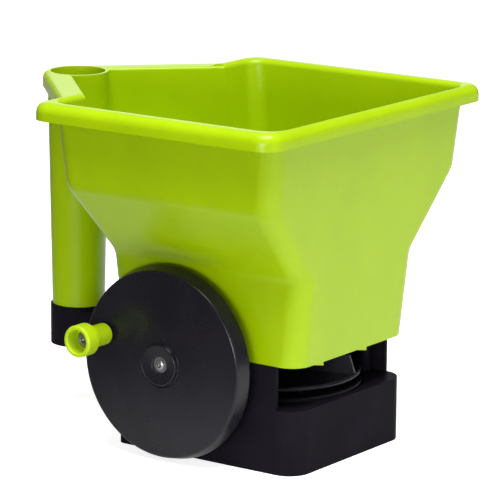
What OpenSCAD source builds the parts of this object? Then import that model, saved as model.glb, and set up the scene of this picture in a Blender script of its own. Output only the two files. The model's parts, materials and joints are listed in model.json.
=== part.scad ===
// Hand-cranked garden spreader: an open hopper with a hollow grip tube stands on a
// gearbox base. The crank wheel's internal ring gear drives a cross shaft, a pair of
// mitre bevels and the spinner under the hopper.
// The origin is on the ground under the spinner shaft. -Y is the throw direction,
// -X the crank side, +Y the grip side and +Z is up.

/* [Spinner] */
// Radius of the spinner disc, which sets the plan size of the base
spinner_r = 56; // [46:0.5:70]
// Gap between the spinner disc and the base side walls
spinner_gap = 2; // [1.5:0.5:6]
// Thickness of the spinner disc
spinner_t = 3; // [2:0.5:5]
// Height of the spinner disc's top above the base deck
spinner_lift = 9; // [7.5:0.5:11]
// Number of vanes on the spinner
vane_count = 4; // [3:1:6]
// Thickness of a vane
vane_t = 2.4; // [1.5:0.1:4]
// Gap between the vanes and the shutter guides
vane_gap = 5.5; // [2:0.5:8]

/* [Base] */
// Height of the base side walls, where the hopper sits
base_h = 67.2; // [60:0.2:80]
// Height of the deck and the low front wall
deck_h = 40; // [36:0.5:44]
// Wall thickness of the black mouldings
base_wall = 2.4; // [1.8:0.1:3.5]
// Base front wall's distance ahead of the spinner disc
front_margin = 4.7; // [3:0.1:12]
// Base rear wall's distance behind the spinner disc
rear_margin = 18.9; // [16:0.1:40]
// Radius of the base's front corners
front_corner_r = 14.3; // [8:0.1:18]
// Radius of the base's rear corners
rear_corner_r = 6; // [4:0.5:12]
// Length of the side walls' cut-back at the throw opening
throw_cutback = 14.3; // [8:0.1:20]
// Thickness of the bottom plate
plate_t = 2.5; // [2:0.1:4]
// Rise of the gearbox cover above the deck
cover_rise = 1.9; // [1:0.1:4]
// Top thickness of the gearbox cover
cover_t = 2.4; // [1.8:0.1:3]

/* [Hopper] */
// Width over the rim lip
rim_w = 232.5; // [190:0.5:290]
// Height of the straight neck
neck_h = 55.1; // [42:0.1:75]
// Height of the sloping side walls
slope_h = 45.9; // [30:0.1:70]
// Height of the upper walls, from the slope to the rim
belly_h = 51.8; // [40:0.1:80]
// Wall thickness of the hopper
hopper_wall = 2.4; // [1.8:0.1:3.5]
// Outward lean of the neck's side walls, per unit of height
neck_draft = 0.035; // [0.02:0.005:0.1]
// Outward lean of the upper side walls, per unit of height
side_draft = 0.06; // [0.02:0.01:0.1]
// Outward lean of the front wall, per unit of height
front_rake = 0.095; // [0.03:0.005:0.15]
// Outward lean of the rear wall, per unit of height
rear_rake = 0.113; // [0.03:0.001:0.15]
// Radius of the hopper's upright corners
hopper_corner_r = 13; // [8:0.5:16]
// Radius of the bends above and below the slope
bend_r = 12; // [6:1:18]
// Reach of the rim lip outside the side walls
lip_side = 10.75; // [7:0.25:14]
// Reach of the rim lip outside the front wall
lip_front = 6; // [5:0.5:12]
// Reach of the rim lip outside the rear wall
lip_rear = 8; // [5:0.1:12]
// Height of the rim lip
lip_h = 10.5; // [8:0.5:14]
// Radius of the rim's rolled edge
roll_r = 6; // [3:0.5:7]
// Radius of the hopper's and the pocket's mouth edges
mouth_r = 3.5; // [1:0.5:5]
// Depth of the two wedge lugs under the front edge of the neck
lug_drop = 2.3; // [1:0.1:4]
// Width of a lug
lug_w = 10.6; // [6:0.2:14]

/* [Grip] */
// Gap for the hand between the neck and the grip tube
hand_gap = 58.5; // [45:1:75]
// Outer radius of the grip tube at the top
tube_r = 19.5; // [15:0.1:24]
// Outer radius of the grip tube at the socket
tube_foot_r = 17; // [14:0.1:21]
// Height of the socket under the grip tube
socket_h = 26; // [20:1:32]
// Width of the flat deck between the rim and the grip tube
tail_deck = 17; // [12:0.5:26]
// Reach of the rim round the grip tube, outside the tube
tail_rim = 3.2; // [2:0.1:7]
// Radius of the rolled edge round the grip tube
tail_roll = 4.5; // [2:0.5:6]
// Drop of the deck round the grip tube below the main rim
tail_sink = 1.3; // [0.5:0.1:1.8]
// Depth of the pocket behind the hopper, below the rim
tail_depth = 48; // [30:1:60]
// Width of the arm that carries the socket
arm_w = 30; // [20:1:36]

/* [Crank] */
// Distance from the base wall to the crank wheel's face
wheel_stand = 19.3; // [18:0.1:30]
// Height of the base top above the wheel's axle
axle_drop = 6; // [5:0.5:10]
// Gap between the wheel's skirt and the ground
ground_gap = 0.7; // [0.3:0.1:5]
// Depth of the wheel, from its face to the back of its skirt
wheel_depth = 10.1; // [9:0.1:14]
// Thickness of the wheel's face
wheel_t = 2.5; // [2:0.1:4]
// Cone of the wheel's skirt, from its face to its back
skirt_flare = 2.5; // [1:0.1:4]
// Distance of the knob's axis from the wheel's rim
knob_inset = 14.5; // [12:0.5:30]
// Turn of the knob around the wheel at rest, from the grip side upwards
knob_angle = 18.6; // [0:0.1:90]
// Length of the knob
knob_len = 27; // [22:0.5:35]
// Radius of the knob's head
knob_r = 10; // [8:0.5:13]
// Radius of the knob's neck
knob_neck_r = 6.75; // [5:0.25:9]
// Length of the knob's head
knob_head = 10.4; // [8:0.2:16]
// Radius of the recess in the knob's head
knob_recess_r = 6.9; // [5:0.1:9]
// Depth of the recess in the knob's head
knob_recess = 9; // [8:0.5:18]
// Radius of the steel axle under the wheel
axle_r = 4; // [3:0.25:5]

/* [Gears] */
// Teeth on the wheel's internal ring gear
ring_teeth = 72; // [60:12:84]
// Teeth on the drive pinion
pinion_teeth = 12; // [12:1:14]
// Teeth on each mitre bevel
bevel_teeth = 16; // [14:2:20]
// Pitch radius of each mitre bevel
bevel_r = 8.5; // [7:0.1:9]
// Radius of the two shafts
shaft_r = 3; // [2.5:0.1:3.2]
// Play between meshing teeth, as a share of the tooth pitch
tooth_play = 0.05; // [0.03:0.01:0.1]

/* [Shutter] */
// Width of the shutter plate
shutter_w = 66; // [50:1:72]
// Thickness of the shutter plate
shutter_t = 1.6; // [1:0.1:2.4]
// Travel of the shutter from closed to open
shutter_travel = 24; // [16:1:30]
// Width of one outlet window
outlet_w = 18; // [10:1:20]
// Length of one outlet window
outlet_l = 20; // [10:1:22]
// Length of the thumb tab behind the hopper
tab_l = 15; // [10:1:20]
// Play between the shutter and what it slides on
slide_gap = 0.35; // [0.2:0.05:0.6]

/* [Fits] */
// Radial clearance of a running shaft
run_gap = 0.06; // [0.02:0.01:0.1]
// Radial clearance of a pressed or clamped fit
press_gap = 0.02; // [0.01:0.01:0.05]
// Gap between fixed mouldings
seam_gap = 0.15; // [0.1:0.05:0.4]
// End play of a turning piece
end_play = 0.4; // [0.2:0.05:0.8]
// Shank radius of the screws
screw_r = 1.5; // [1.2:0.1:2]
// Head radius of the screws
screw_head_r = 3; // [2.6:0.1:3.2]

/* [Hidden] */

lime = [0.62, 0.77, 0.06];
black = [0.13, 0.12, 0.15];
nylon = [0.86, 0.85, 0.80];
steel = [0.72, 0.73, 0.75];
fine = 96; // facets of a large round
small = 48; // facets of a small round
over = 1; // how far a cut runs past a face
arc_steps = 6; // steps along a rounded corner

// Base
base_x = spinner_r + spinner_gap + base_wall;
base_front = spinner_r + front_margin;
base_rear = spinner_r + rear_margin;
well_r = spinner_r + spinner_gap - 0.8;
cover_r = well_r - seam_gap * 2;
cover_top = deck_h + cover_rise;
post_r = 4;
rear_post = [base_x - 9.4, base_rear - 8.9];
front_post = [base_x - 7.9, -(base_front - throw_cutback - 12.4)];
foot_post = [base_x - front_corner_r + 2.6, -(base_front - front_corner_r + 1)];
pillar_at = spinner_r * 0.79;

// Gear train: the ring gear follows the wheel, and the cross shaft meets it in mesh
wheel_z = base_h - axle_drop;
skirt_r = wheel_z - ground_gap;
wheel_r = skirt_r - skirt_flare;
ring_pitch = skirt_r - 9.7;
gear_module = 2 * ring_pitch / ring_teeth;
pinion_pitch = gear_module * pinion_teeth / 2;
gear_span = ring_pitch - pinion_pitch;
bevel_module = 2 * bevel_r / bevel_teeth;
bevel_tip = bevel_r + 0.85 * bevel_module;
lay_z = cover_top - cover_t - bevel_tip - 2;
wheel_y = sqrt(pow(gear_span, 2) - pow(wheel_z - lay_z, 2));
mesh_angle = atan2(-wheel_y, wheel_z - lay_z);
bevel_inner = bevel_r - 3.5;
tower_z = lay_z + (shaft_r + 4) * bevel_tip / bevel_r + 0.7;

// Crank side, by distance from the middle plane
face_x = base_x + wheel_stand;
skirt_x = face_x - wheel_depth;
boss_x = base_x + 5.2;
hub_in = boss_x + end_play;
face_in = face_x - wheel_t;
crown_x = face_x + 2;
ledge_x = face_x - 1.1;
pinion_in = skirt_x + 0.5;
pinion_out = face_in - 0.8;
knob_start = face_x + 2.2 + end_play;
crank_r = wheel_r - knob_inset;
knob_at = [wheel_y + crank_r * cos(knob_angle), wheel_z + crank_r * sin(knob_angle)];

// Hopper
z_lo = base_h + neck_h;
z_hi = z_lo + slope_h;
overall_h = z_hi + belly_h;
neck_x = base_x - 0.4;
belly_x = rim_w / 2 - lip_side - side_draft * belly_h;
wall_top = overall_h - 2;
tube_y = base_rear + 0.4 + hand_gap + tube_r;
tail_out = tube_r + tail_rim;
tail_top = overall_h - tail_sink;
socket_z = base_h - socket_h - 0.3;
spigot_r = tube_foot_r - 0.9;
lug_at = [-37, 9.5];
lug_inset = 0.3;

// Shutter
shutter_z = base_h + 0.6;
outlet_z = shutter_z + shutter_t + slide_gap;
outlet_t = 2.6;
outlet_at = [shaft_r + 7 + outlet_w / 2, -shaft_r - outlet_l / 2];
guide_drop = 1.2;
spinner_top = deck_h + spinner_lift;
vane_top = base_h - guide_drop - vane_gap;
shaft_top = outlet_z + outlet_t + 24;

// ---- outlines ----
function unit(v) = v / norm(v);
function mean(points) = [for (p = points) 1] * points / len(points);
function cut(x) = min(1, max(-1, x));

// Points round the corner p between a and b, with radius r
function corner_arc(a, p, b, r, n) =
    let (u = unit(a - p), w = unit(b - p), half = acos(cut(u * w)) / 2,
        c = p + unit(u + w) * r / sin(half),
        s = p + u * r / tan(half) - c, e = p + w * r / tan(half) - c,
        turn = acos(cut(s * e / (r * r))))
    [for (k = [0:n]) c + (s * sin((1 - k / n) * turn) + e * sin(k / n * turn)) / sin(turn)];

// Points of a closed outline; each corner is [x, y, radius]
function rounded(v, n = arc_steps) = [for (i = [0:len(v) - 1])
    let (p = v[i], a = v[(i + len(v) - 1) % len(v)], b = v[(i + 1) % len(v)])
    each corner_arc([a.x, a.y], [p.x, p.y], [b.x, b.y], p[2], n)];

// The same corners, moved outwards by d
function grown(v, d) = [for (i = [0:len(v) - 1])
    let (p = v[i], a = v[(i + len(v) - 1) % len(v)], b = v[(i + 1) % len(v)],
        e = unit([p.x - a.x, p.y - a.y]), f = unit([b.x - p.x, b.y - p.y]),
        m = ([e.y, -e.x] + [f.y, -f.x]) / (1 + e * f),
        convex = e.x * f.y - e.y * f.x > 0)
    [p.x + d * m.x, p.y + d * m.y, max(0.5, p[2] + (convex ? d : -d))]];

function lifted(points, z) = [for (p = points) [p.x, p.y, z]];

// A solid through rings of equal length, from the lowest to the highest
module loft(rings) {
    n = len(rings[0]);
    last = len(rings) - 1;
    middle = n * len(rings);
    polyhedron(points = concat([for (ring = rings) each ring], [mean(rings[0]), mean(rings[last])]),
        faces = concat(
            [for (i = [0:n - 1]) [i, (i + 1) % n, middle]],
            [for (k = [0:last - 1], i = [0:n - 1])
                [k * n + i, (k + 1) * n + i, (k + 1) * n + (i + 1) % n, k * n + (i + 1) % n]],
            [for (i = [0:n - 1]) [last * n + (i + 1) % n, last * n + i, middle + 1]]),
        convexity = 8);
}

// A hollow solid whose skin passes through the rings and returns from the last to the first
module ring_loft(rings) {
    n = len(rings[0]);
    count = len(rings);
    polyhedron(points = [for (ring = rings) each ring],
        faces = [for (k = [0:count - 1], i = [0:n - 1]) let (up = (k + 1) % count, j = (i + 1) % n)
            [k * n + i, up * n + i, up * n + j, k * n + j]],
        convexity = 8);
}

// Turns a shape drawn along +Z to run along -X, from the distance x out
module outward(x, y, z) {
    translate([-x, y, z]) rotate([0, -90, 0]) children();
}

// ---- hopper shape ----
function front_y(z) = base_front + 0.6 + front_rake * (z - base_h);
function rear_y(z) = base_rear + 0.4 + rear_rake * (z - base_h);

// Half width of the body against height, bent round at the slope's ends
function side_path(d) =
    let (v = [[neck_x, base_h], [neck_x + neck_draft * neck_h, z_lo], [belly_x, z_hi],
            [belly_x + side_draft * belly_h, overall_h]],
        m = [for (i = [0:3]) let (e = unit(v[max(i, 1)] - v[max(i, 1) - 1]),
            f = unit(v[min(i, 2) + 1] - v[min(i, 2)]))
            v[i] + d * ([e.y, -e.x] + [f.y, -f.x]) / (1 + e * f)])
    concat([m[0]], corner_arc(m[0], m[1], m[2], bend_r - d, arc_steps),
        corner_arc(m[1], m[2], m[3], bend_r + d, arc_steps), [m[3]]);

function body_ring(x, z, d, r, wide = 0) = lifted(rounded([
    [-x - wide, -front_y(z) - d - wide, r], [x + wide, -front_y(z) - d - wide, r],
    [x + wide, rear_y(z) + d + wide, r], [-x - wide, rear_y(z) + d + wide, r]]), z);

module body_outer() {
    path = side_path(0);
    loft([for (p = path) if (p.y < wall_top) body_ring(p.x, p.y, 0, hopper_corner_r),
        body_ring(path[len(path) - 1].x, wall_top, 0, hopper_corner_r)]);
}

module body_inner() {
    path = side_path(-hopper_wall);
    r = hopper_corner_r - hopper_wall;
    edge = mouth_r;
    x = path[len(path) - 1].x;
    loft(concat(
        [body_ring(path[0].x, base_h - over, -hopper_wall, r)],
        [for (p = path) if (p.y > base_h + 1 && p.y < overall_h - edge - 1)
            body_ring(p.x, p.y, -hopper_wall, r)],
        [for (a = [0:22.5:90]) body_ring(x, overall_h - edge * (1 - sin(a)), -hopper_wall,
            r + edge * (1 - cos(a)), edge * (1 - cos(a)))],
        [lifted(body_ring(x, overall_h, -hopper_wall, r + edge, edge), overall_h + over)]));
}

// Corners of the rim's outer edge, and of the tail that carries it round the grip tube
tail_tip = tube_y + tail_out * sqrt(2);
rim_rear = rear_y(overall_h - lip_h) + lip_rear;
rim_front = -front_y(overall_h - lip_h) - lip_front;
rim_corners = [
    [-rim_w / 2, rim_front, hopper_corner_r], [rim_w / 2, rim_front, hopper_corner_r],
    [rim_w / 2, rim_rear, hopper_corner_r], [-rim_w / 2, rim_rear, hopper_corner_r]];
tail_start = rim_rear - lip_rear;
tail_corners = [
    [tail_start - tail_tip, tail_start, 3], [tail_tip - tail_start, tail_start, 3],
    [0, tail_tip, tail_out]];

module rim_plate(corners, top, roll) {
    loft(concat(
        [lifted(rounded(corners), overall_h - lip_h)],
        [for (a = [0:22.5:90]) lifted(rounded(grown(corners, -roll * (1 - cos(a)))),
            top - roll * (1 - sin(a)))]));
}

// Space under a rim, in two steps that follow its roll
module rim_hollow(corners, top, roll) {
    step = (roll - hopper_wall) * 0.45;
    for (k = [0, 1]) translate([0, 0, overall_h - lip_h - over])
        linear_extrude(height = top - overall_h + lip_h + over - hopper_wall - (1 - k) * step)
            polygon(rounded(grown(corners, -hopper_wall - k * step)));
}

// Plan of the pocket between the rear wall and the grip tube, grown by d
function tail_plan(d) =
    let (reach = tail_tip - tail_deck * sqrt(2) + d * sqrt(2), start = rear_y(z_hi) - 12)
    [[start - reach, start], [reach - start, start], [0, reach]];

// The pocket's depth, seen from the side: its floor falls towards the hopper
module tail_side(d) {
    start = rear_y(z_hi) - 12;
    floor_z = overall_h - tail_depth - d;
    rotate([90, 0, 90]) linear_extrude(height = rim_w, center = true)
        polygon([[start, floor_z - 13], [tail_tip, floor_z + 1], [tail_tip, overall_h + over],
            [start, overall_h + over]]);
}

module tail_outer() {
    intersection() {
        linear_extrude(height = tail_top - hopper_wall / 2) polygon(tail_plan(hopper_wall));
        tail_side(hopper_wall);
    }
}

module tail_inner() {
    edge = mouth_r / 2;
    intersection() {
        linear_extrude(height = overall_h + over) polygon(tail_plan(0));
        tail_side(0);
    }
    loft(concat(
        [for (a = [0:30:90]) lifted(tail_plan(edge * (1 - cos(a))), tail_top - edge * (1 - sin(a)))],
        [lifted(tail_plan(edge), overall_h + over)]));
}

module tube_cone(extra = 0) {
    rise = tail_top - base_h;
    translate([0, tube_y, base_h]) cylinder(h = rise + extra, r1 = tube_foot_r,
        r2 = tube_foot_r + (tube_r - tube_foot_r) * (rise + extra) / rise, $fn = fine);
}

module tube_bore() {
    foot = socket_z + base_wall + seam_gap + 2.6;
    translate([0, tube_y, foot]) cylinder(h = overall_h - foot + over,
        r1 = spigot_r - hopper_wall, r2 = tube_r - hopper_wall + 0.4, $fn = fine);
}

module at_four(front, rear) {
    for (side = [-1, 1], p = [front, rear]) translate([side * p.x, p.y, 0]) children();
}

// Screw bosses in the corners of the neck, each with a web to the side wall
module neck_bosses() {
    low = outlet_z + outlet_t + seam_gap;
    for (side = [0, 1], p = [front_post, rear_post]) mirror([side, 0, 0]) {
        translate([p.x, p.y, low]) cylinder(h = 11, r = post_r, $fn = small);
        translate([p.x, p.y - 1.5, low]) cube([neck_x - 0.8 - p.x, 3, 11]);
    }
}

// A wedge under the front edge of the neck, deepest at its +X end
module lug(x) {
    translate([x, hopper_wall - lug_inset - front_y(base_h), base_h]) rotate([90, 0, 0])
        linear_extrude(height = hopper_wall - 2 * lug_inset) polygon([
            [-lug_w / 2, over], [-lug_w / 2, -0.1], [lug_w / 2, -lug_drop], [lug_w / 2, over]]);
}

// Hopper with its rim, rear pocket and grip tube, in one moulding
module hopper() {
    color(lime) difference() {
        union() {
            difference() {
                union() {
                    difference() {
                        union() {
                            rim_plate(rim_corners, overall_h, roll_r);
                            rim_plate(tail_corners, tail_top, tail_roll);
                        }
                        rim_hollow(rim_corners, overall_h, roll_r);
                        rim_hollow(tail_corners, tail_top, tail_roll);
                    }
                    body_outer();
                    tail_outer();
                    tube_cone();
                }
                body_inner();
                difference() {
                    tail_inner();
                    tube_cone(4);
                }
            }
            translate([0, tube_y, socket_z + base_wall + seam_gap])
                cylinder(h = socket_h, r = spigot_r, $fn = fine);
            neck_bosses();
            for (x = lug_at) lug(x);
        }
        tube_bore();
        at_four(front_post, rear_post) translate([0, 0, outlet_z])
            cylinder(h = 10, r = screw_r + press_gap, $fn = small);
        translate([0, tube_y, socket_z]) cylinder(h = 6, r = screw_r + press_gap, $fn = small);
        translate([-shutter_w / 2 - slide_gap, 0, base_h - over])
            cube([shutter_w + 2 * slide_gap, base_rear + 5, shutter_t + 0.6 + slide_gap + over]);
    }
}

// ---- fixed pieces inside the neck ----
module neck_plan(d) {
    polygon(rounded([
        [-neck_x + d, -front_y(base_h) + d, hopper_corner_r - d],
        [neck_x - d, -front_y(base_h) + d, hopper_corner_r - d],
        [neck_x - d, rear_y(base_h) - d, hopper_corner_r - d],
        [-neck_x + d, rear_y(base_h) - d, hopper_corner_r - d]]));
}

module both_outlets(z, h, play = 0) {
    for (side = [-1, 1])
        translate([side * outlet_at.x - outlet_w / 2 - play, outlet_at.y - outlet_l / 2, z])
            cube([outlet_w + 2 * play, outlet_l, h]);
}

// Plate that closes the neck and holds the two outlet windows
module outlet_plate() {
    color(black) difference() {
        translate([0, 0, outlet_z]) linear_extrude(height = outlet_t)
            neck_plan(hopper_wall + seam_gap);
        both_outlets(outlet_z - over, outlet_t + 2 * over);
        translate([0, 0, outlet_z - over])
            cylinder(h = outlet_t + 2 * over, r = shaft_r + 0.6, $fn = small);
        at_four(front_post, rear_post) translate([0, 0, outlet_z - over])
            cylinder(h = outlet_t + 2 * over, r = screw_r + 0.3, $fn = small);
    }
}

// Two L-shaped rails under the outlet plate
module shutter_guides() {
    low = base_h - guide_drop;
    edge = shutter_w / 2 + slide_gap;
    rail_l = base_front + base_rear - 34;
    color(black) for (side = [0, 1]) mirror([side, 0, 0]) {
        translate([edge, -base_front + 9, low]) cube([3, rail_l, outlet_z - low]);
        translate([edge - 3, -base_front + 9, low])
            cube([3 + 0.1, rail_l, shutter_z - slide_gap - low]);
    }
}

// ---- base ----
module base_plan(d, front = front_corner_r) {
    x = base_x - d;
    f = base_front - d;
    b = base_rear - d;
    rf = front - d;
    rr = rear_corner_r - d;
    translate([-x, -f + rf]) square([2 * x, f + b - rf - rr]);
    translate([-x + rf, -f]) square([2 * (x - rf), 2 * rf]);
    translate([-x + rr, b - 2 * rr]) square([2 * (x - rr), 2 * rr]);
    for (side = [-1, 1]) {
        translate([side * (x - rf), -f + rf]) circle(r = rf, $fn = fine);
        translate([side * (x - rr), b - rr]) circle(r = rr, $fn = fine);
    }
}

// Housing with the low front wall, the U of side and rear walls, the arm and the socket
module base_housing() {
    wall_front = base_front - throw_cutback;
    inner_x = base_x - base_wall;
    arm_z = socket_z + 2;
    arm_top = base_h - 2;
    reach = tube_y - base_rear;
    color(black) difference() {
        union() {
            difference() {
                linear_extrude(height = deck_h) base_plan(0);
                translate([0, 0, -over]) linear_extrude(height = deck_h - base_wall + over)
                    base_plan(base_wall);
            }
            difference() {
                linear_extrude(height = base_h) base_plan(0);
                translate([0, 0, -over]) linear_extrude(height = base_h + 2 * over)
                    base_plan(base_wall);
                translate([-base_x - over, -base_front - over, -over])
                    cube([2 * base_x + 2 * over, throw_cutback + over, base_h + 2 * over]);
            }
            at_four(front_post, rear_post) translate([0, 0, deck_h - 8])
                cylinder(h = base_h - deck_h + 8, r = post_r, $fn = small);
            for (side = [-1, 1]) {
                translate([side * front_post.x + (side < 0 ? -6 : 0), front_post.y - 1.5, deck_h - 1])
                    cube([6, 3, base_h - deck_h + 1]);
                translate([side * rear_post.x + (side < 0 ? -8 : 0), rear_post.y - 1.5, deck_h - 1])
                    cube([8, 3, base_h - deck_h + 1]);
            }
            at_four(foot_post, rear_post) translate([0, 0, plate_t + seam_gap])
                cylinder(h = deck_h - plate_t - 1, r = post_r, $fn = small);
            outward(base_x - over, wheel_y, wheel_z)
                cylinder(h = boss_x - base_x + over, r = axle_r + 4, $fn = fine);
            outward(base_x - over, 0, lay_z)
                cylinder(h = 6 + over, r = shaft_r + 5, $fn = fine);
            translate([-arm_w / 2, base_rear - over, arm_z])
                cube([arm_w, reach, arm_top - arm_z]);
            translate([0, tube_y, socket_z])
                cylinder(h = socket_h + 0.1, r = tube_foot_r + 1.2, $fn = fine);
        }
        translate([0, 0, deck_h - base_wall - over])
            cylinder(h = base_wall + 2 * over, r = well_r, $fn = fine);
        translate([-arm_w / 2 + base_wall, base_rear - base_wall - over, arm_z - over])
            cube([arm_w - 2 * base_wall, reach - tube_foot_r - 1 + base_wall,
                arm_top - arm_z - base_wall + over]);
        translate([-base_x, -base_front, base_h]) cube([2 * base_x, base_front + base_rear, 20]);
        translate([0, tube_y, socket_z + base_wall])
            cylinder(h = socket_h + over, r = spigot_r + seam_gap, $fn = fine);
        translate([0, tube_y, socket_z - over])
            cylinder(h = base_wall + 2 * over, r = screw_r + 0.3, $fn = small);
        outward(inner_x - 2 * over, wheel_y, wheel_z)
            cylinder(h = 20, r = axle_r + press_gap, $fn = small);
        outward(inner_x - 2 * over, 0, lay_z)
            cylinder(h = 20, r = shaft_r + 2 + press_gap, $fn = small);
        at_four(front_post, rear_post) {
            translate([0, 0, base_h - 10]) cylinder(h = 10 + over, r = screw_r + 0.3, $fn = small);
            translate([0, 0, deck_h - 12])
                cylinder(h = base_h - deck_h + 5, r = screw_head_r + 0.2, $fn = small);
        }
        at_four(foot_post, rear_post)
            translate([0, 0, 0]) cylinder(h = 12, r = screw_r + press_gap, $fn = small);
    }
}

// Plate under the base with the shaft's foot bearing, the inner bearing pillar and pillars
module bottom_plate() {
    block_x = pillar_at / 2;
    color(black) difference() {
        union() {
            linear_extrude(height = plate_t) base_plan(base_wall + seam_gap);
            cylinder(h = plate_t + 5, r = shaft_r + 5, $fn = small);
            translate([-block_x - 4, -8, 0]) cube([8, 16, lay_z]);
            outward(block_x - 4, 0, lay_z) cylinder(h = 8, r = 8, $fn = small);
            for (a = [0, 120, 240]) rotate(a) translate([pillar_at, 0, 0])
                cylinder(h = cover_top - cover_t - seam_gap, r = post_r, $fn = small);
        }
        translate([0, 0, 1]) cylinder(h = plate_t + 5, r = shaft_r + 2 + press_gap, $fn = small);
        outward(block_x - 5, 0, lay_z)
            cylinder(h = 10, r = shaft_r + 2 + press_gap, $fn = small);
        for (a = [0, 120, 240]) rotate(a) translate([pillar_at, 0, cover_top - 14])
            cylinder(h = 14, r = screw_r + press_gap, $fn = small);
        at_four(foot_post, rear_post) {
            translate([0, 0, -over]) cylinder(h = 10, r = screw_r + 0.3, $fn = small);
            translate([0, 0, -over]) cylinder(h = over + 1.2, r = screw_head_r + 0.2, $fn = small);
        }
    }
}

// Stepped round cover over the bevel gears
module gearbox_cover() {
    low = deck_h - base_wall - 3;
    step_z = deck_h - 1.3;
    color(black) difference() {
        rotate_extrude($fn = fine) polygon([
            [0, cover_top], [cover_r - 1, cover_top], [cover_r - 0.4, cover_top - 0.6],
            [cover_r - 0.4, step_z + 0.5], [cover_r - 1, step_z], [cover_r, step_z - 0.4],
            [cover_r, low], [cover_r - base_wall, low], [cover_r - base_wall, cover_top - cover_t],
            [shaft_r + 5, cover_top - cover_t], [shaft_r + 4, tower_z], [0, tower_z]]);
        translate([0, 0, tower_z - over])
            cylinder(h = 20, r = shaft_r + 2 + press_gap, $fn = small);
        for (a = [0, 120, 240]) rotate(a) translate([pillar_at, 0, 0]) {
            translate([0, 0, cover_top - cover_t - over])
                cylinder(h = 10, r = screw_r + 0.3, $fn = small);
            translate([0, 0, cover_top - 1]) cylinder(h = 10, r = screw_head_r + 0.2, $fn = small);
        }
    }
}

// ---- fasteners and bearings ----
// A pan-head screw along +Z, its head's underside at the origin
module screw(length, head_r = screw_head_r, head_h = 1.9) {
    difference() {
        union() {
            cylinder(h = length, r = screw_r, $fn = small);
            rotate_extrude($fn = small) polygon(concat([[0, 0], [head_r, 0]],
                [for (a = [30:15:90]) [head_r * (0.55 + 0.45 * cos(a)),
                    -head_h * (0.45 + 0.55 * sin(a))]]));
        }
        for (a = [0, 90]) rotate(a) translate([-head_r * 0.55, -0.35, -head_h - over])
            cube([head_r * 1.1, 0.7, over + head_h * 0.45]);
    }
}

// A flanged bush along +Z for a shaft, its flange at the origin
module bush(length) {
    difference() {
        union() {
            cylinder(h = length, r = shaft_r + 2, $fn = small);
            cylinder(h = 1, r = shaft_r + 3, $fn = small);
        }
        translate([0, 0, -over])
            cylinder(h = length + 2 * over, r = shaft_r + run_gap, $fn = small);
    }
}

module base_screws() {
    color(steel) at_four(foot_post, rear_post) translate([0, 0, 1.2])
        screw(9.5, screw_head_r, 1.05);
}

module hopper_screws() {
    seat = base_h - 7;
    color(steel) at_four(front_post, rear_post) translate([0, 0, seat])
        screw(outlet_z + 9 - seat);
}

module cover_screws() {
    color(steel) for (a = [0, 120, 240]) rotate(a) translate([pillar_at, 0, cover_top - 1])
        mirror([0, 0, 1]) screw(10.5, screw_head_r, 1.2);
}

module handle_screw() {
    color(steel) translate([0, tube_y, socket_z]) screw(5.5);
}

module layshaft_bushes() {
    color(nylon) {
        outward(base_x - base_wall - 1, 0, lay_z) bush(base_wall + 6.5);
        outward(pillar_at / 2 - 4 - 1, 0, lay_z) bush(9);
    }
}

module spinner_bushes() {
    color(nylon) {
        translate([0, 0, plate_t + 6]) mirror([0, 0, 1]) bush(plate_t + 4.9);
        translate([0, 0, tower_z - 1]) bush(cover_top - tower_z + 1);
    }
}

// ---- crank ----
module wheel_axle() {
    color(steel) difference() {
        union() {
            outward(base_x - base_wall - 2.6, wheel_y, wheel_z)
                cylinder(h = 2.6 - seam_gap, r = axle_r + 1, $fn = small);
            outward(base_x - base_wall - 1, wheel_y, wheel_z)
                cylinder(h = ledge_x + 0.08 - base_x + base_wall + 1, r = axle_r, $fn = small);
        }
        outward(ledge_x - 10, wheel_y, wheel_z) cylinder(h = 11, r = screw_r + press_gap, $fn = small);
    }
}

module hub_washer() {
    color(steel) difference() {
        outward(ledge_x + 0.1, wheel_y, wheel_z) cylinder(h = 0.8, r = axle_r + 0.9, $fn = small);
        outward(ledge_x - 1, wheel_y, wheel_z) cylinder(h = 4, r = screw_r + 0.3, $fn = small);
    }
}

module hub_screw() {
    color(steel) outward(ledge_x + 0.95, wheel_y, wheel_z) mirror([0, 0, 1])
        screw(9, axle_r * 0.82, 1.5);
}

function inv(a) = tan(a) * 180 / PI - a;
function polar(r, a) = [r * cos(a), r * sin(a)];

// Involute outline with a tooth centred on the X axis; slack widens the gaps
function gear_points(teeth, m, tip, root, slack, steps = 4, pressure = 20) =
    let (pitch = m * teeth / 2, base = pitch * cos(pressure), low = max(base, root),
        half = 90 / teeth * (1 - slack) + inv(pressure))
    [for (t = [0:teeth - 1]) let (mid = 360 * t / teeth) each concat(
        [polar(root, mid - half + inv(acos(base / low)))],
        [for (k = [0:steps]) let (r = low + (tip - low) * k / steps)
            polar(r, mid - half + inv(acos(base / r)))],
        [for (k = [steps:-1:0]) let (r = low + (tip - low) * k / steps)
            polar(r, mid + half - inv(acos(base / r)))],
        [polar(root, mid + half - inv(acos(base / low)))])];

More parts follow.
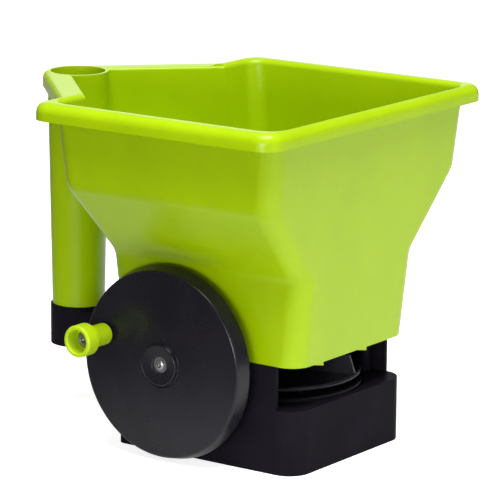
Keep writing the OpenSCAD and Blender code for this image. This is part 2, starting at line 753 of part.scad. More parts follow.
// Crank wheel: a shallow cup with a ring gear, a long hub and a crown round the screw
module crank_wheel() {
    depth = wheel_depth;
    gear_root = ring_pitch + 1.15 * gear_module;
    gear_wall = gear_root + 2;
    color(black) difference() {
        union() {
            outward(skirt_x, wheel_y, wheel_z) rotate_extrude($fn = fine) polygon(concat(
                [[skirt_r - 2.2, 0], [skirt_r, 0], [skirt_r - 0.4, 2.4], [skirt_r - 1.1, 2.9],
                    [wheel_r + 0.2, depth - 2.5]],
                [for (a = [0:30:90]) [wheel_r - 1.8 * (1 - cos(a)), depth - 1.8 * (1 - sin(a))]],
                [[15, depth], [14.4, depth - 0.7], [13.6, depth - 0.7], [13, depth],
                    [12.2, depth + 1.5], [11.2, depth + 2], [axle_r + 2.2, depth + 2],
                    [axle_r + 1.2, depth + 1.4], [axle_r + 1.2, depth - 1.1],
                    [axle_r + run_gap, depth - 1.1], [axle_r + run_gap, hub_in - skirt_x],
                    [axle_r + 4, hub_in - skirt_x], [axle_r + 5, depth - wheel_t],
                    [skirt_r - 3.4, depth - wheel_t]]));
            outward(skirt_x + 0.5, wheel_y, wheel_z) rotate([0, 0, 0]) difference() {
                cylinder(h = depth - 0.5 - wheel_t / 2, r = gear_wall, $fn = fine);
                translate([0, 0, -over]) rotate([0, 0, -mesh_angle]) linear_extrude(height = 20)
                    polygon(gear_points(ring_teeth, gear_module, gear_root,
                        ring_pitch - 0.8 * gear_module, -tooth_play, 2));
            }
            outward(face_x - 1, knob_at.x, knob_at.y) cylinder(h = 1 + 2.2, r = 6, $fn = small);
        }
        outward(face_x - 4, knob_at.x, knob_at.y) cylinder(h = 8, r = 2 + press_gap, $fn = small);
        outward(face_in - 1, knob_at.x, knob_at.y) cylinder(h = 2.2, r = 3.6, $fn = small);
    }
}

// Shouldered rivet that the knob turns on
module knob_pin() {
    pin_x = knob_start + knob_len - knob_recess;
    color(steel) outward(0, knob_at.x, knob_at.y) difference() {
        rotate_extrude($fn = small) polygon([
            [0, face_in + 0.05], [3.4, face_in + 0.05], [3.4, face_in + 1.1], [2, face_in + 1.1],
            [2, face_x + 2.25], [3.2, face_x + 2.25], [3.2, pin_x + end_play], [5.2, pin_x + end_play],
            [5.2, pin_x + 1.6], [4.4, pin_x + 2.4], [0, pin_x + 2.4]]);
        translate([0, 0, pin_x + 0.9]) cylinder(h = 4, r = 1.7, $fn = small);
    }
}

module knob() {
    n = knob_len;
    h = n - knob_head;
    color(lime) outward(knob_start, knob_at.x, knob_at.y) rotate_extrude($fn = fine) polygon(concat(
        [[3.2 + run_gap, 0], [knob_neck_r - 0.6, 0], [knob_neck_r, 0.6], [knob_neck_r, h - 2.4]],
        [for (a = [30:30:60]) [knob_neck_r + 2.4 * (1 - cos(a)), h - 2.4 + 2.4 * sin(a)]],
        [[knob_neck_r + 2.4, h]],
        [for (a = [-60:30:0]) [knob_r - 0.8 + 0.8 * cos(a), h + 0.8 + 0.8 * sin(a)]],
        [for (a = [0:30:90]) [knob_r - 1.2 + 1.2 * cos(a), n - 1.2 + 1.2 * sin(a)]],
        [[knob_recess_r + 0.8, n], [knob_recess_r, n - 0.8], [knob_recess_r - 0.3, n - knob_recess],
            [3.2 + run_gap, n - knob_recess]]));
}

// ---- gear train ----
module layshaft() {
    color(steel) outward(bevel_inner - 0.5, 0, lay_z)
        cylinder(h = pinion_out - bevel_inner + 0.5, r = shaft_r, $fn = small);
}

module drive_pinion() {
    color(nylon) outward(pinion_in, 0, lay_z) difference() {
        union() {
            rotate([0, 0, -mesh_angle]) linear_extrude(height = pinion_out - pinion_in)
                polygon(gear_points(pinion_teeth, gear_module, pinion_pitch + 0.85 * gear_module,
                    pinion_pitch - 1.15 * gear_module, tooth_play, 5));
            translate([0, 0, base_x + 7 + end_play - pinion_in])
                cylinder(h = pinion_in - base_x - 7 - end_play + 0.1, r = shaft_r + 1.6, $fn = small);
        }
        translate([0, 0, -10]) cylinder(h = 30, r = shaft_r + press_gap, $fn = small);
    }
}

// A mitre bevel below its apex, which is at the origin; a tooth lies on the X axis
module bevel(hub) {
    ring = gear_points(bevel_teeth, bevel_module, bevel_tip, bevel_r - 1.05 * bevel_module,
        2.5 * tooth_play, 3);
    n = len(ring);
    round_ring = [for (i = [0:n - 1]) polar(1, (i + 0.5) * 360 / n - 180 / bevel_teeth)];
    hub_ring = round_ring * (bevel_r - 2.5 * bevel_module);
    bore_ring = round_ring * (shaft_r + press_gap);
    ring_loft([lifted(bore_ring, -bevel_r - hub), lifted(hub_ring, -bevel_r - hub),
        lifted(hub_ring, -bevel_r), lifted(ring, -bevel_r),
        lifted([for (p = ring) p * bevel_inner / bevel_r], -bevel_inner),
        lifted(bore_ring, -bevel_inner)]);
}

module bevel_pinion() {
    color(nylon) translate([0, 0, lay_z]) rotate([0, 90, 0])
        bevel(pillar_at / 2 - 5 - end_play - bevel_r);
}

module driven_bevel() {
    color(nylon) translate([0, 0, lay_z]) rotate(180 / bevel_teeth)
        bevel(lay_z - bevel_r - plate_t - 6 - end_play);
}

module spinner_shaft() {
    color(steel) difference() {
        translate([0, 0, 1.3]) cylinder(h = shaft_top - 1.3, r = shaft_r, $fn = small);
        for (z = clip_at) translate([0, 0, z - 0.1]) difference() {
            cylinder(h = 1, r = shaft_r + over, $fn = small);
            translate([0, 0, -over]) cylinder(h = 4, r = shaft_r - 0.6, $fn = small);
        }
    }
}

hub_top = spinner_top + 4;
clip_at = [hub_top + 0.3, shaft_top - 3];

module shaft_clips() {
    color(steel) for (z = clip_at) translate([0, 0, z]) difference() {
        cylinder(h = 0.8, r = shaft_r + 2, $fn = small);
        translate([0, 0, -over]) cylinder(h = 4, r = shaft_r - 0.6 + press_gap, $fn = small);
        translate([-1.4, 0, -over]) cube([2.8, 10, 4]);
    }
}

// Spinner disc with a hub and slanted vanes
module spinner_disc() {
    low = cover_top + end_play + 0.6;
    color(black) difference() {
        union() {
            translate([0, 0, spinner_top]) rotate_extrude($fn = fine) polygon(concat(
                [[0, -spinner_t], [spinner_r - 1.5, -spinner_t]],
                [for (a = [-60:30:60]) [spinner_r - 1.5 + 1.5 * cos(a), -1.5 + 1.5 * sin(a)]],
                [[spinner_r - 1.5, 0], [spinner_r - 4, -0.7], [0, -0.7]]));
            translate([0, 0, low]) cylinder(h = hub_top - low, r = shaft_r + 5, $fn = small);
            intersection() {
                for (k = [0:vane_count - 1]) rotate(k * 360 / vane_count + vane_turn)
                    rotate([90, 0, 0]) linear_extrude(height = vane_t, center = true)
                        polygon([[shaft_r + 4, spinner_top - 1], [spinner_r, spinner_top - 1],
                            [spinner_r - 4.8, vane_top], [spinner_r * 0.45, vane_top],
                            [shaft_r + 4, hub_top]]);
                cylinder(h = overall_h, r = spinner_r - 1, $fn = fine);
            }
        }
        cylinder(h = overall_h, r = shaft_r + press_gap, $fn = small);
    }
}

vane_turn = -74; // turn of the first vane from the X axis, at rest

// Stirrer on the shaft's end, inside the hopper
module agitator() {
    low = outlet_z + outlet_t + 2;
    top = shaft_top - 3.5;
    color(black) difference() {
        union() {
            translate([0, 0, low]) cylinder(h = top - low, r1 = shaft_r + 4, r2 = shaft_r + 2.5,
                $fn = small);
            for (k = [0:2]) rotate(k * 120) translate([0, 0, low + 4 + k * 5]) rotate([0, 78, 0])
                cylinder(h = spinner_r * 0.42, r1 = 2.4, r2 = 1.8, $fn = small);
        }
        cylinder(h = overall_h, r = shaft_r + press_gap, $fn = small);
    }
}

// ---- shutter ----
module shutter_plate() {
    front = outlet_at.y - outlet_l / 2 - shutter_travel - 4;
    rear = base_rear + 8;
    color(steel) difference() {
        translate([-shutter_w / 2, front, shutter_z]) cube([shutter_w, rear - front, shutter_t]);
        translate([0, -shutter_travel, 0]) both_outlets(shutter_z - over, shutter_t + 2 * over);
        translate([-shaft_r - 1, -shutter_travel - shaft_r - 1, shutter_z - over])
            cube([2 * shaft_r + 2, shutter_travel + 2 * shaft_r + 2, shutter_t + 2 * over]);
    }
}

// Thumb tab clipped on the shutter's rear edge
module shutter_tab() {
    start = base_rear + 3.5;
    w = shutter_w - 26;
    color(lime) difference() {
        union() {
            translate([-w / 2, start, shutter_z - 1.4]) cube([w, tab_l, shutter_t + 2.8]);
            translate([-w / 2, start + tab_l - 3, shutter_z - 1.4]) cube([w, 3, 12]);
            for (k = [0:2]) translate([-w / 2 + 3, start + 1.5 + 3 * k, shutter_z + shutter_t + 1])
                cube([w - 6, 1.2, 1]);
        }
        translate([-shutter_w / 2, start - over, shutter_z - press_gap])
            cube([shutter_w, base_rear + 8 - start + over + seam_gap, shutter_t + 2 * press_gap]);
    }
}

hopper();
outlet_plate();
shutter_guides();
base_housing();
bottom_plate();
gearbox_cover();
wheel_axle();
hub_washer();
hub_screw();
layshaft_bushes();
spinner_bushes();
base_screws();
hopper_screws();
cover_screws();
handle_screw();
crank_wheel();
knob_pin();
knob();
layshaft();
drive_pinion();
bevel_pinion();
spinner_shaft();
driven_bevel();
spinner_disc();
agitator();
shaft_clips();
shutter_plate();
shutter_tab();
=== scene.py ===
# Hand-cranked garden spreader: finishes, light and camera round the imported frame
import json
import math

import bmesh
import bpy
from mathutils import Matrix, Vector


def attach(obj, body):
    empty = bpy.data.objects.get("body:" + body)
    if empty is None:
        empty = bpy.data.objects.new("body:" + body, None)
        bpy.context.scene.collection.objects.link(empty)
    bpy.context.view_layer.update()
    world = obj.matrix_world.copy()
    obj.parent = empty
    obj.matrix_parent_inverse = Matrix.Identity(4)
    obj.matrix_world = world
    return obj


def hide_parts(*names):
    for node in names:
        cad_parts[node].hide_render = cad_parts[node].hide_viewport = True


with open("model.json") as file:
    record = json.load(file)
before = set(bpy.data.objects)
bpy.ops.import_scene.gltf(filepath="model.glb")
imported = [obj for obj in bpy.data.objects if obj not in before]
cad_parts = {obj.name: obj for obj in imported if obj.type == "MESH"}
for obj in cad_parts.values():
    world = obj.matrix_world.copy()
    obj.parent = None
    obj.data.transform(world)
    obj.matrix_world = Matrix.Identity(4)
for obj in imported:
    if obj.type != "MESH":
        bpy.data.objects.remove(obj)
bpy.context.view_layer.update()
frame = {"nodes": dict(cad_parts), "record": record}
nodes = frame["nodes"]
mm = 0.001
print("frame loaded:", len(nodes), "nodes")


class Wire:  # one shader value: arithmetic between wires adds Math nodes
    def __init__(self, finish, socket):
        self.finish, self.socket = finish, socket

    def math(self, operation, *values):
        return self.finish.add("ShaderNodeMath", {"operation": operation}, dict(enumerate(values)))

    def __add__(self, other):
        return self.math("ADD", self, other)

    def __sub__(self, other):
        return self.math("SUBTRACT", self, other)

    def __rsub__(self, other):
        return self.math("SUBTRACT", other, self)

    def __mul__(self, other):
        return self.math("MULTIPLY", self, other)

    __radd__ = __add__
    __rmul__ = __mul__


class Finish:  # a material, with its nodes added by one method
    def __init__(self, name):
        self.material = bpy.data.materials.new(name)
        self.material.use_nodes = True
        self.tree = self.material.node_tree
        self.shader = next(n for n in self.tree.nodes if n.type == "BSDF_PRINCIPLED")
        self.place = self.add("ShaderNodeTexCoord", out="Object")

    def add(self, kind, settings=None, sockets=None, out=0):
        node = self.tree.nodes.new(kind)
        for key, value in (settings or {}).items():
            if key == "stops":
                self.setStops(node.color_ramp, value)
            else:
                setattr(node, key, value)
        for key, value in (sockets or {}).items():
            self.put(node.inputs[key], value)
        return Wire(self, node.outputs[out])

    def put(self, socket, value):
        if isinstance(value, Wire):
            self.tree.links.new(value.socket, socket)
        else:
            socket.default_value = value

    def setStops(self, ramp, stops):
        while len(ramp.elements) < len(stops):
            ramp.elements.new(0.5)
        for element, (position, shade) in zip(ramp.elements, stops):
            element.position = position
            element.color = (shade, shade, shade, 1)

    def stretched(self, scale):  # object coordinates, scaled unevenly
        return self.add("ShaderNodeMapping", {}, {"Vector": self.place, "Scale": scale})

    def noise(self, scale, detail=2, rough=0.5, place=None):
        return self.add("ShaderNodeTexNoise", {}, {
            "Vector": place or self.place, "Scale": scale, "Detail": detail, "Roughness": rough})

    def cells(self, scale, feature="F1", out="Distance"):
        return self.add("ShaderNodeTexVoronoi", {"feature": feature},
                        {"Vector": self.place, "Scale": scale}, out)

    def ramp(self, value, stops):
        return self.add("ShaderNodeValToRGB", {"stops": stops}, {"Fac": value})

    def mix(self, amount, first, second):
        return self.add("ShaderNodeMix", {"data_type": "RGBA"},
                        {0: amount, 6: first, 7: second}, out=2)

    def bump(self, height, distance, strength):
        return self.add("ShaderNodeBump", {}, {
            "Height": height, "Distance": distance, "Strength": strength})

    def set(self, **values):
        for key, value in values.items():
            self.put(self.shader.inputs[key.replace("_", " ")], value)
        return self.material


def rgb(red, green, blue):
    return (red, green, blue, 1)


def grey(tone):
    return rgb(tone, tone, tone)


def moulded(name, deep, bright, look):  # glossy moulding plastic with flow marks and fine peel
    f = Finish(name)
    flow = f.noise(14, 3, 0.55, f.stretched((1, 1, 0.45)))
    clouds = f.noise(55, 3, 0.6)
    peel = f.noise(look["peelScale"], 2, 0.5)
    scuffs = f.ramp(f.noise(260, 4, 0.7, f.stretched((1, 1, 0.12))), [(0.60, 0), (0.78, 1)])
    tone = flow * 0.7 + clouds * 0.3
    rough = look["rough"] + (flow - 0.5) * look["roughVary"] + scuffs * 0.05
    return f.set(
        Base_Color=f.mix(f.ramp(tone, [(0.32, 0), (0.68, 1)]), deep, bright),
        Roughness=rough,
        Normal=f.bump(peel, look["peelDepth"], 0.5),
        IOR=1.46,
        Specular_IOR_Level=look["shine"],
        Coat_Weight=look["coat"],
        Coat_Roughness=0.12)


def sparked(name, deep, pale, look):  # black moulding plastic with a fine eroded texture
    f = Finish(name)
    grain = f.noise(look["grainScale"], 3, 0.6)
    clouds = f.noise(30, 3, 0.55)
    dust = f.ramp(f.noise(700, 4, 0.75), [(0.62, 0), (0.80, 1)])
    tone = f.ramp(clouds * 0.75 + grain * 0.25, [(0.35, 0), (0.70, 1)]) * 0.8 + dust * 0.2
    return f.set(
        Base_Color=f.mix(tone, deep, pale),
        Roughness=look["rough"] + (clouds - 0.5) * 0.12 + dust * 0.06,
        Normal=f.bump(grain, look["grainDepth"], 0.6),
        IOR=1.5,
        Specular_IOR_Level=look["shine"])


def turnedSteel(name):
    f = Finish(name)
    lines = f.noise(1800, 2, 0.6, f.stretched((1, 0.04, 0.04)))
    spots = f.noise(220, 3, 0.6)
    return f.set(
        Base_Color=f.mix(lines * 0.6 + spots * 0.4, rgb(0.24, 0.24, 0.25), rgb(0.46, 0.455, 0.44)),
        Metallic=1.0,
        Roughness=0.22 + lines * 0.16,
        Normal=f.bump(lines, 0.00002, 0.4))


def spangledZinc(name):
    f = Finish(name)
    crystals = f.cells(150, out="Color")
    edges = f.ramp(f.cells(150, "DISTANCE_TO_EDGE"), [(0.0, 0), (0.06, 1)])
    haze = f.noise(90, 3, 0.6)
    tone = f.add("ShaderNodeSeparateColor", {}, {"Color": crystals})
    return f.set(
        Base_Color=f.mix(tone * 0.6 + haze * 0.4, rgb(0.38, 0.40, 0.42), rgb(0.66, 0.68, 0.70)),
        Metallic=1.0,
        Roughness=0.30 + tone * 0.18 + (1 - edges) * 0.08,
        Normal=f.bump(edges, 0.00002, 0.3))


def nylonFinish(name):
    f = Finish(name)
    clouds = f.noise(160, 3, 0.6)
    grain = f.noise(1900, 2, 0.5)
    return f.set(
        Base_Color=f.mix(clouds, rgb(0.66, 0.63, 0.54), rgb(0.82, 0.80, 0.73)),
        Roughness=0.38 + clouds * 0.14,
        Normal=f.bump(grain, 0.00003, 0.4),
        Subsurface_Weight=0.15,
        Subsurface_Radius=(1.0, 0.9, 0.7),
        Subsurface_Scale=0.0015)


finishes = {
    "lime_plastic": moulded("limeHopper", rgb(0.315, 0.48, 0.0), rgb(0.36, 0.535, 0.0), {
        "rough": 0.30, "roughVary": 0.10, "peelScale": 420, "peelDepth": 0.00006,
        "shine": 0.30, "coat": 0.0}),
    "lime_knob": moulded("limeKnob", rgb(0.42, 0.62, 0.0), rgb(0.50, 0.70, 0.01), {
        "rough": 0.32, "roughVary": 0.08, "peelScale": 900, "peelDepth": 0.00004,
        "shine": 0.40, "coat": 0.15}),
    "black_satin": sparked("blackHousing", rgb(0.0075, 0.0063, 0.0098), rgb(0.0135, 0.0115, 0.0175), {
        "rough": 0.46, "grainScale": 1500, "grainDepth": 0.00006, "shine": 0.015}),
    "black_gloss": sparked("blackWheel", rgb(0.0075, 0.0065, 0.010), rgb(0.0135, 0.012, 0.018), {
        "rough": 0.24, "grainScale": 1100, "grainDepth": 0.00001, "shine": 0.30}),
    "nylon": nylonFinish("paleNylon"),
    "steel": turnedSteel("turnedSteel"),
    "galvanised": spangledZinc("spangledZinc"),
}
print("finishes made:", len(finishes))


def jointAt(name):
    joints = frame["record"]["behaviour"]["joints"]
    return Vector(next(joint["pos_m"] for joint in joints if joint["name"] == name))


def bodyOf(node):
    return next(b for b, members in frame["record"]["behaviour"]["bodies"].items() if node in members)


def slotOf(node):
    return next(s["material_slot"] for s in frame["record"]["subparts"] if s["node"] == node)


meshing = {
    "weld": 2e-6,  # metres within which vertices merge
    "sharp": 35,  # degrees from which an edge stays sharp
    "flatWeight": 80,  # pull of the large faces on the shading
    "arcSteps": 5,  # steps in each rounded corner
    "pinSteps": 64,  # steps round each pin and screw
}


def place(bm, name, node):  # makes the piece and rides it on its node's body
    bmesh.ops.remove_doubles(bm, verts=bm.verts, dist=meshing["weld"])
    bmesh.ops.recalc_face_normals(bm, faces=bm.faces)
    mesh = bpy.data.meshes.new(name)
    for face in bm.faces:
        face.smooth = True
    sharp = math.radians(meshing["sharp"])
    for edge in bm.edges:
        edge.smooth = len(edge.link_faces) != 2 or edge.calc_face_angle(0) < sharp
    bm.to_mesh(mesh)
    bm.free()
    piece = bpy.data.objects.new(name, mesh)
    bpy.context.scene.collection.objects.link(piece)
    piece.data.materials.append(finishes[slotOf(node)])
    shading = piece.modifiers.new("flat faces", "WEIGHTED_NORMAL")
    shading.keep_sharp = True
    shading.weight = meshing["flatWeight"]
    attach(piece, bodyOf(node))
    slotOf(node)
    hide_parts(node)


def softened(corners):  # an outline's (radius, height, rounding) corners, with arcs, in mm
    steps = meshing["arcSteps"]
    points = []
    for k, (x, y, bend) in enumerate(corners):
        at = Vector((x, y))
        if not bend:
            points.append(at)
            continue
        back = (Vector(corners[k - 1][:2]) - at).normalized()
        on = (Vector(corners[(k + 1) % len(corners)][:2]) - at).normalized()
        half = back.angle(on) / 2
        middle = at + (back + on).normalized() * bend / math.sin(half)
        first = at + back * bend / math.tan(half) - middle
        last = at + on * bend / math.tan(half) - middle
        turn = first.angle(last)
        for step in range(steps + 1):
            share = step / steps
            arm = first * math.sin((1 - share) * turn) + last * math.sin(share * turn)
            points.append(middle + arm / math.sin(turn))
    return points


def chain(bm, points, closed=True):  # vertices in a row, joined by edges
    verts = [bm.verts.new(p) for p in points]
    first = 0 if closed else 1
    return verts, [bm.edges.new((verts[k - 1], verts[k])) for k in range(first, len(verts))]


def turned(bm, corners, at, along, steps, closed=True):  # a solid of revolution
    points = [at + (sideways * p.x + along * p.y) * mm for p in softened(corners)]
    verts, edges = chain(bm, points, closed)
    bmesh.ops.spin(bm, geom=verts + edges, cent=at, axis=along, angle=math.tau, steps=steps,
                   use_merge=True)


def tube(bm, rings):  # joins the rings, and the last to the first
    loops = [chain(bm, points)[1] for points in rings]
    for k in range(len(loops)):
        bmesh.ops.bridge_loops(bm, edges=loops[k - 1] + loops[k])


def knobCentre():  # where the knob's axis meets the plane of the wheel's face
    at = jointAt("crank_spin")
    at.y, at.z = jointAt("knob_spin").yz
    return at


sideways = Vector((0, 1, 0))
outward = Vector((-1, 0, 0))  # the way that the crank wheel faces
up = Vector((0, 0, 1))
crank = {
    "rim": 58.0, "skirt": 60.5, "depth": 10.1, "face": 2.5, "edgeBend": 1.9, "steps": 120,
    "skirtWall": 2.2, "skirtRoot": 3.9, "band": 1.2, "bandDraft": 0.1,
    "crownIn": 5.0, "crownOut": 13.4, "crownRise": 2.2, "crownDish": 1.1, "ledge": 1.1,
    "crownDraft": 0.7, "crownSlope": 0.9, "crownStep": 0.8,
    "grooveOut": 1.0, "grooveMiddle": 0.5, "grooveDepth": 0.45,
    "bore": 4.06, "hub": 8.0, "hubFlare": 1.2, "hubDepth": 13.7,
    "boss": 6.0, "bossRise": 2.2, "bossSink": 1.0, "bossBore": 2.02, "bossSteps": 64,
    "teeth": 72, "pitch": 50.8, "addendum": 0.8, "dedendum": 1.15, "pressure": 20.0, "slack": 0.05,
    "gearBack": 9.6, "gearWall": 54.4, "meshTurn": 38.563}


def makeWheel():  # a shallow cup with a rolled edge, a crown round the hub and a ring gear inside
    c = crank
    at = jointAt("crank_spin")
    back = -c["depth"]
    dished = c["crownRise"] - c["crownDish"]
    bm = bmesh.new()
    turned(bm, [
        (c["skirt"] - c["skirtWall"], back, 0.3), (c["skirt"], back, 0.4),
        (c["skirt"] - c["bandDraft"], back + c["band"], 0.3), (c["rim"], 0, c["edgeBend"]),
        (c["crownOut"] + c["grooveOut"], 0, 0.6),
        (c["crownOut"] + c["grooveMiddle"], -c["grooveDepth"], 0.2),
        (c["crownOut"], 0, 0.15), (c["crownOut"] - c["crownDraft"], c["crownRise"], 0.9),
        (c["crownIn"] + c["crownSlope"], dished, 0.7),
        (c["crownIn"], dished - c["crownStep"], 0.3), (c["crownIn"], -c["ledge"], 0),
        (c["bore"], -c["ledge"], 0.1), (c["bore"], -c["hubDepth"], 0.2),
        (c["hub"], -c["hubDepth"], 0.5), (c["hub"] + c["hubFlare"], -c["face"], 1.0),
        (c["skirt"] - c["skirtRoot"], -c["face"], 1.2)], at, outward, c["steps"])
    addRingGear(bm, at)
    turned(bm, [
        (c["bossBore"], -c["bossSink"], 0), (c["boss"], -c["bossSink"], 0),
        (c["boss"], c["bossRise"], 0.5), (c["bossBore"], c["bossRise"], 0.15)],
        knobCentre(), outward, c["bossSteps"])
    place(bm, "crankWheelCup", "crank_wheel")


def addRingGear(bm, at):  # a ring of involute teeth that point at the hub
    c = crank
    module = 2 * c["pitch"] / c["teeth"]
    tip = c["pitch"] - c["addendum"] * module
    root = c["pitch"] + c["dedendum"] * module
    pressure = math.radians(c["pressure"])
    base = c["pitch"] * math.cos(pressure)

    def involute(angle):
        return math.tan(angle) - angle

    def gap(radius):  # half the gap between two teeth, as an angle
        whole = math.pi / 2 / c["teeth"] * (1 + c["slack"]) + involute(pressure)
        return whole - involute(math.acos(base / radius))

    inner, outer = [], []
    for tooth in range(c["teeth"]):
        middle = math.radians(c["meshTurn"]) + math.tau * tooth / c["teeth"]
        flank = [tip, (tip + root) / 2, root]
        for radius, turn in [(r, middle - gap(r)) for r in flank] + [
                (r, middle + gap(r)) for r in reversed(flank)]:
            arm = Vector((0, math.sin(turn), math.cos(turn)))
            inner.append(arm * radius)
            outer.append(arm * c["gearWall"])
    low, high = outward * -c["gearBack"], outward * (-c["face"] / 2)
    tube(bm, [[at + (p + level) * mm for p in points] for points, level in (
        (inner, low), (outer, low), (outer, high), (inner, high))])


knob = {
    "length": 27.0, "neck": 6.75, "head": 10.0, "headLength": 10.4, "recess": 6.9, "bore": 3.26,
    "recessDepth": 9.0, "recessDraft": 0.3, "start": 2.6, "flare": 2.4, "steps": 96}


def makeKnob():  # a waisted knob with an open recess in its head
    k = knob
    start = k["start"]
    shoulder = start + k["length"] - k["headLength"]
    end = start + k["length"]
    floor = end - k["recessDepth"]
    bm = bmesh.new()
    turned(bm, [
        (k["bore"], start, 0.2), (k["neck"], start, 0.6), (k["neck"], shoulder, k["flare"]),
        (k["head"], shoulder, 0.9), (k["head"], end, 1.4), (k["recess"] + k["recessDraft"], end, 0.9),
        (k["recess"] - k["recessDraft"], floor, 0.4), (k["bore"], floor, 0.2)],
        knobCentre(), outward, k["steps"])
    place(bm, "knobShell", "knob")


def makePin(at, outline, name, node):  # a turned solid whose outline starts and ends on its axis
    bm = bmesh.new()
    turned(bm, outline, at, outward, meshing["pinSteps"], closed=False)
    place(bm, name, node)


rivet = {
    "seat": 2.0, "shoulder": 2.25, "shank": 3.2, "tail": 3.4, "tailFrom": -2.45, "tailTo": -1.4,
    "head": 5.2, "headFrom": 0.4, "headSide": 1.6, "headTop": 2.4, "headFlat": 4.4,
    "dish": 1.9, "dishFloor": 1.7, "dishFrom": 0.9}


def makeKnobPin():  # a shouldered rivet with a dished head
    r = rivet
    head = knob["start"] + knob["length"] - knob["recessDepth"]
    makePin(knobCentre(), [
        (0.0, r["tailFrom"], 0), (r["tail"], r["tailFrom"], 0.2), (r["tail"], r["tailTo"], 0.1),
        (r["seat"], r["tailTo"], 0), (r["seat"], r["shoulder"], 0), (r["shank"], r["shoulder"], 0.1),
        (r["shank"], head + r["headFrom"], 0), (r["head"], head + r["headFrom"], 0.3),
        (r["head"], head + r["headSide"], 0.5), (r["headFlat"], head + r["headTop"], 0.6),
        (r["dish"], head + r["headTop"], 0.25), (r["dishFloor"], head + r["dishFrom"], 0.15),
        (0.0, head + r["dishFrom"], 0)], "knobRivet", "knob_pin")


screwHead = {
    "radius": 3.25, "height": 1.5, "side": 0.6, "flat": 0.6, "shank": 1.45, "length": 9.0,
    "socket": 1.7, "socketDraft": 0.2, "socketDepth": 1.3, "seat": 0.15}


def makeHubScrew():  # a pan-head screw with a deep round socket
    h = screwHead
    seat = -h["seat"]
    top = seat + h["height"]
    makePin(jointAt("crank_spin"), [
        (0.0, seat - h["length"], 0), (h["shank"], seat - h["length"], 0.3), (h["shank"], seat, 0),
        (h["radius"], seat, 0.15), (h["radius"], seat + h["height"] * h["side"], 0.5),
        (h["radius"] * h["flat"], top, 0.6), (h["socket"], top, 0.12),
        (h["socket"] - h["socketDraft"], top - h["socketDepth"], 0.1),
        (0.0, top - h["socketDepth"], 0)], "hubScrew", "hub_screw")


disc = {
    "radius": 56.0, "top": 49.0, "thick": 3.0, "dish": 0.7, "steps": 144,
    "underDraft": 0.6, "lipDrop": 1.5, "lipOut": 0.9, "lipIn": 2.2, "dishFrom": 4.0,
    "hub": 8.0, "hubLow": 42.9, "hubTop": 53.0, "bore": 3.02,
    "vanes": 4, "vaneThick": 2.4, "vaneTop": 60.5, "vaneTurn": -74.0, "vaneSink": 1.5,
    "vaneFoot": 1.2, "vaneLean": 4.8, "vaneStart": 0.45, "vaneRoot": 2.0, "vaneDrop": 0.3,
    "vaneBend": 0.45, "bendSteps": 3}


def makeSpinner():  # a dished disc with a rolled lip, a hub and slanted vanes
    d = disc
    edge = d["radius"]
    under = d["top"] - d["thick"]
    dished = d["top"] - d["dish"]
    bm = bmesh.new()
    turned(bm, [
        (d["bore"], d["hubLow"], 0.2), (d["hub"], d["hubLow"], 0.4), (d["hub"], under, 0.8),
        (edge - d["underDraft"], under, 0.9), (edge, d["top"] - d["lipDrop"], 1.0),
        (edge - d["lipOut"], d["top"], 0.5), (edge - d["lipIn"], d["top"], 0.5),
        (edge - d["dishFrom"], dished, 1.2), (d["hub"], dished, 1.0),
        (d["hub"], d["hubTop"], 0.6), (d["bore"], d["hubTop"], 0.2)],
        Vector((0, 0, 0)), up, d["steps"])
    for k in range(d["vanes"]):
        addVane(bm, math.radians(d["vaneTurn"]) + math.tau * k / d["vanes"])
    place(bm, "spinnerDish", "spinner_disc")


def addVane(bm, angle):  # an upright plate from the hub to the lip, with rounded edges
    d = disc
    low, root = d["top"] - d["vaneSink"], d["hub"] - d["vaneRoot"]
    foot = d["radius"] - d["vaneFoot"]
    outline = [
        (root, low), (foot, low), (foot, d["top"]), (d["radius"] - d["vaneLean"], d["vaneTop"]),
        (d["radius"] * d["vaneStart"], d["vaneTop"]), (root, d["hubTop"] - d["vaneDrop"])]
    verts = [bm.verts.new(Vector((x, -d["vaneThick"] / 2, z)) * mm) for x, z in outline]
    flat = bm.faces.new(verts)
    grown = bmesh.ops.extrude_face_region(bm, geom=[flat])["geom"]
    moved = [v for v in grown if isinstance(v, bmesh.types.BMVert)]
    bmesh.ops.translate(bm, verts=moved, vec=Vector((0, d["vaneThick"], 0)) * mm)
    edges = {e for v in verts + moved for e in v.link_edges}
    cut = bmesh.ops.bevel(bm, geom=list(edges), offset=d["vaneBend"] * mm, offset_type="OFFSET",
                          segments=d["bendSteps"], profile=0.5, affect="EDGES", material=-1)
    vane = {v for face in cut["faces"] for v in face.verts}
    bmesh.ops.transform(bm, matrix=Matrix.Rotation(angle, 4, "Z"), verts=list(vane))


def smoothCopy(node):  # the node's own shape, with its round faces shaded smooth
    bm = bmesh.new()
    bm.from_mesh(nodes[node].data)
    place(bm, node.title().replace("_", "") + "Smooth", node)


makeWheel()
makeKnob()
makeKnobPin()
makeHubScrew()
makeSpinner()
modelled = ("crank_wheel", "knob", "knob_pin", "hub_screw", "spinner_disc")
for name in nodes:
    if name not in modelled:
        smoothCopy(name)
print("pieces placed")

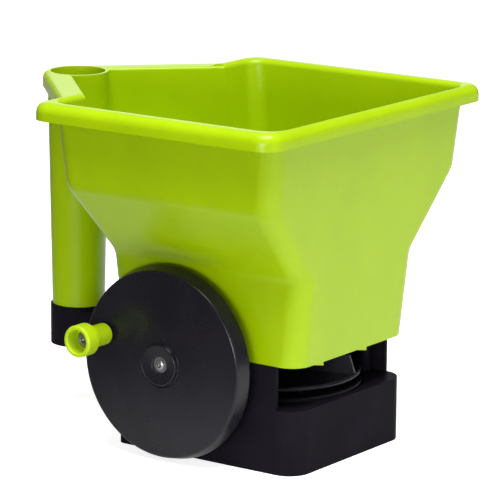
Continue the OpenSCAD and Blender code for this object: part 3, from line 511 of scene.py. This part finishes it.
studio = {
    "floorSize": 8.0,
    "floorTone": (0.80, 0.84),  # darkest and palest tone of the floor
    "floorRough": 0.8,
    "floorShine": 0.05,
    "floorGlow": 0.80,  # lifts the floor to white where it is looked at directly
    "floorLift": 0.48,  # share of that glow that lights the object from below
    "shadeTo": (-0.8, 0.57, 0),  # the way in which the floor's reflection grows dark
    "shadeFrom": (0.0, 0.32),  # where along it the reflection starts to fade and is darkest
    "shadeTone": 0.10,
    "skyStrength": 0.20,
    "lights": [
        # name, place, aim, width, height, power, tone
        ("topBox", (-0.35, -0.30, 1.6), (0, 0.03, 0.12), 1.0, 1.0, 39, (1, 1, 1)),
        ("backBox", (1.75, 1.25, 0.62), (0, 0, 0.15), 1.3, 0.7, 3, (1, 1, 1)),
        ("leftBox", (-1.85, -0.6, 0.22), (0, 0, 0.12), 0.9, 0.4, 17, (1, 1, 1)),
        ("frontStrip", (-0.1, -1.4, 0.55), (0, 0, 0.1), 0.12, 0.7, 1.1, (1, 0.98, 1)),
    ],
    "cameraAt": (-1.6184, -1.14679, 0.56418),
    "cameraTurn": (77.436, -0.447, -54.179),
    "lens": 236.81,
    "sensor": 36,
    "clip": (0.05, 30),
}


def makeFloor():  # white to the eye, dimmer in reflections and bounced light
    bm = bmesh.new()
    bmesh.ops.create_grid(bm, x_segments=1, y_segments=1, size=studio["floorSize"] / 2)
    mesh = bpy.data.meshes.new("floor")
    bm.to_mesh(mesh)
    bm.free()
    floor = bpy.data.objects.new("floor", mesh)
    bpy.context.scene.collection.objects.link(floor)
    f = Finish("paleFloor")
    haze = f.noise(3, 2, 0.5)
    dark, pale = studio["floorTone"]
    seen = f.add("ShaderNodeLightPath", out="Is Camera Ray")
    away = f.add("ShaderNodeVectorMath", {"operation": "DOT_PRODUCT"},
                 {0: f.place, 1: studio["shadeTo"]}, out="Value")
    start, full = studio["shadeFrom"]
    shade = f.ramp(away, [(start, 0), (full, 1)]) * (1 - seen)
    plain = f.mix(haze, grey(dark), grey(pale))
    bounced = f.mix(shade, grey(studio["floorLift"]), grey(0))
    mesh.materials.append(f.set(
        Base_Color=f.mix(shade, plain, grey(studio["shadeTone"])),
        Roughness=studio["floorRough"] + haze * 0.1,
        Specular_IOR_Level=studio["floorShine"],
        Emission_Color=f.mix(seen, bounced, grey(1)),
        Emission_Strength=studio["floorGlow"]))


def addLight(name, at, aim, width, height, power, tone):
    data = bpy.data.lights.new(name, "AREA")
    data.shape, data.size, data.size_y = "RECTANGLE", width, height
    data.energy, data.color = power, tone
    light = bpy.data.objects.new(name, data)
    bpy.context.scene.collection.objects.link(light)
    light.location = at
    light.rotation_euler = (Vector(aim) - Vector(at)).to_track_quat("-Z", "Y").to_euler()


def addSky():
    world = bpy.data.worlds.new("studio")
    world.use_nodes = True
    sky = world.node_tree.nodes["Background"]
    sky.inputs["Color"].default_value = grey(1)
    sky.inputs["Strength"].default_value = studio["skyStrength"]
    bpy.context.scene.world = world


def addCamera():
    data = bpy.data.cameras.new("camera")
    data.lens, data.sensor_width = studio["lens"], studio["sensor"]
    data.clip_start, data.clip_end = studio["clip"]
    camera = bpy.data.objects.new("camera", data)
    bpy.context.scene.collection.objects.link(camera)
    camera.location = studio["cameraAt"]
    camera.rotation_euler = [math.radians(a) for a in studio["cameraTurn"]]
    bpy.context.scene.camera = camera


makeFloor()
addSky()
for light in studio["lights"]:
    addLight(*light)
addCamera()
bpy.context.scene.view_settings.view_transform = "Standard"
print("stage set")
